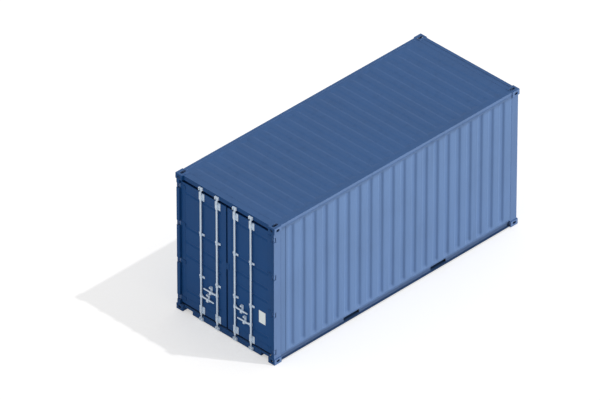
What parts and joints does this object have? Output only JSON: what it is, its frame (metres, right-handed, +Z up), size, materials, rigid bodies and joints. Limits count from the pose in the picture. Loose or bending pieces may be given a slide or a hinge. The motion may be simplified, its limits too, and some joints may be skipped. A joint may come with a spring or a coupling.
{
  "type": "shipping container",
  "caption": "High-cube freight container with corrugated steel walls, hollow corner castings, fork pockets and hinged end doors held by turning lock bars with lifting handles.",
  "frame": {"origin": "middle of the base, level with the feet of the bottom corner castings", "axes": "+Y along the length towards the closed end, the doors face -Y, +X to the right seen from the doors, +Z up"},
  "size_m": [2.438, 6.058, 2.896],
  "materials": {
    "frame_paint": "satin blue enamel, weathered",
    "panel_paint": "satin blue enamel on pressed steel",
    "roof_paint": "faded blue enamel",
    "door_paint": "satin blue enamel",
    "underframe_paint": "black underbody coating",
    "galvanised": "hot-dip galvanised",
    "fitting_paint": "satin blue enamel",
    "seal_rubber": "matt black",
    "floor_wood": "oiled plywood",
    "plate_metal": "satin, bare"
  },
  "bodies": {
    "frame": {"bottom_side_rails": "frame_paint", "cam_keepers": "galvanised", "closed_end_bottom_rail": "frame_paint", "closed_end_posts": "frame_paint", "closed_end_top_rail": "frame_paint", "closed_end_wall": "panel_paint", "corner_castings_bottom": "frame_paint", "corner_castings_top": "frame_paint", "cross_members": "underframe_paint", "door_header": "frame_paint", "door_posts": "frame_paint", "door_sill": "frame_paint", "floor": "floor_wood", "fork_pocket_mouths": "frame_paint", "fork_pocket_tops": "underframe_paint", "hinge_seats": "fitting_paint", "roof": "roof_paint", "side_walls": "panel_paint", "top_side_rails": "frame_paint"},
    "door_left": {"bar_bearings_left": "galvanised", "door_frame_left": "door_paint", "door_hinges_left": "fitting_paint", "door_panel_left": "door_paint", "door_seal_left": "seal_rubber", "handle_retainers_left": "galvanised"},
    "door_right": {"bar_bearings_right": "galvanised", "data_plate": "plate_metal", "door_frame_right": "door_paint", "door_hinges_right": "fitting_paint", "door_panel_right": "door_paint", "door_seal_right": "seal_rubber", "handle_retainers_right": "galvanised", "overlap_plate": "fitting_paint"},
    "bar_1": {"bar_forgings_1": "galvanised", "lock_bar_1": "galvanised"},
    "bar_2": {"bar_forgings_2": "galvanised", "lock_bar_2": "galvanised"},
    "bar_3": {"bar_forgings_3": "galvanised", "lock_bar_3": "galvanised"},
    "bar_4": {"bar_forgings_4": "galvanised", "lock_bar_4": "galvanised"},
    "handle_1": {"bar_handle_1": "galvanised"},
    "handle_2": {"bar_handle_2": "galvanised"},
    "handle_3": {"bar_handle_3": "galvanised"},
    "handle_4": {"bar_handle_4": "galvanised"}
  },
  "joints": [
    {"name": "door_left_hinge", "type": "hinge", "parent": "frame", "child": "door_left", "pos_m": [-1.181, -3.01, 1.45], "axis": [0, 0, -1], "range_deg": [0, 263]},
    {"name": "door_right_hinge", "type": "hinge", "parent": "frame", "child": "door_right", "pos_m": [1.181, -3.01, 1.45], "axis": [0, 0, 1], "range_deg": [0, 263]},
    {"name": "bar_1_turn", "type": "hinge", "parent": "door_left", "child": "bar_1", "pos_m": [-0.615, -3.006, 1.45], "axis": [0, 0, 1], "range_deg": [-110, 0]},
    {"name": "handle_1_lift", "type": "hinge", "parent": "bar_1", "child": "handle_1", "pos_m": [-0.574, -3.0175, 0.564], "axis": [0, -1, 0], "range_deg": [0, 12]},
    {"name": "bar_2_turn", "type": "hinge", "parent": "door_left", "child": "bar_2", "pos_m": [-0.219, -3.006, 1.45], "axis": [0, 0, -1], "range_deg": [-110, 0]},
    {"name": "handle_2_lift", "type": "hinge", "parent": "bar_2", "child": "handle_2", "pos_m": [-0.26, -3.0175, 0.759], "axis": [0, 1, 0], "range_deg": [0, 12]},
    {"name": "bar_3_turn", "type": "hinge", "parent": "door_right", "child": "bar_3", "pos_m": [0.219, -3.006, 1.45], "axis": [0, 0, 1], "range_deg": [-110, 0]},
    {"name": "handle_3_lift", "type": "hinge", "parent": "bar_3", "child": "handle_3", "pos_m": [0.26, -3.0175, 0.759], "axis": [0, -1, 0], "range_deg": [0, 12]},
    {"name": "bar_4_turn", "type": "hinge", "parent": "door_right", "child": "bar_4", "pos_m": [0.615, -3.006, 1.45], "axis": [0, 0, -1], "range_deg": [-110, 0]},
    {"name": "handle_4_lift", "type": "hinge", "parent": "bar_4", "child": "handle_4", "pos_m": [0.574, -3.0175, 0.564], "axis": [0, 1, 0], "range_deg": [0, 12]}
  ]
}
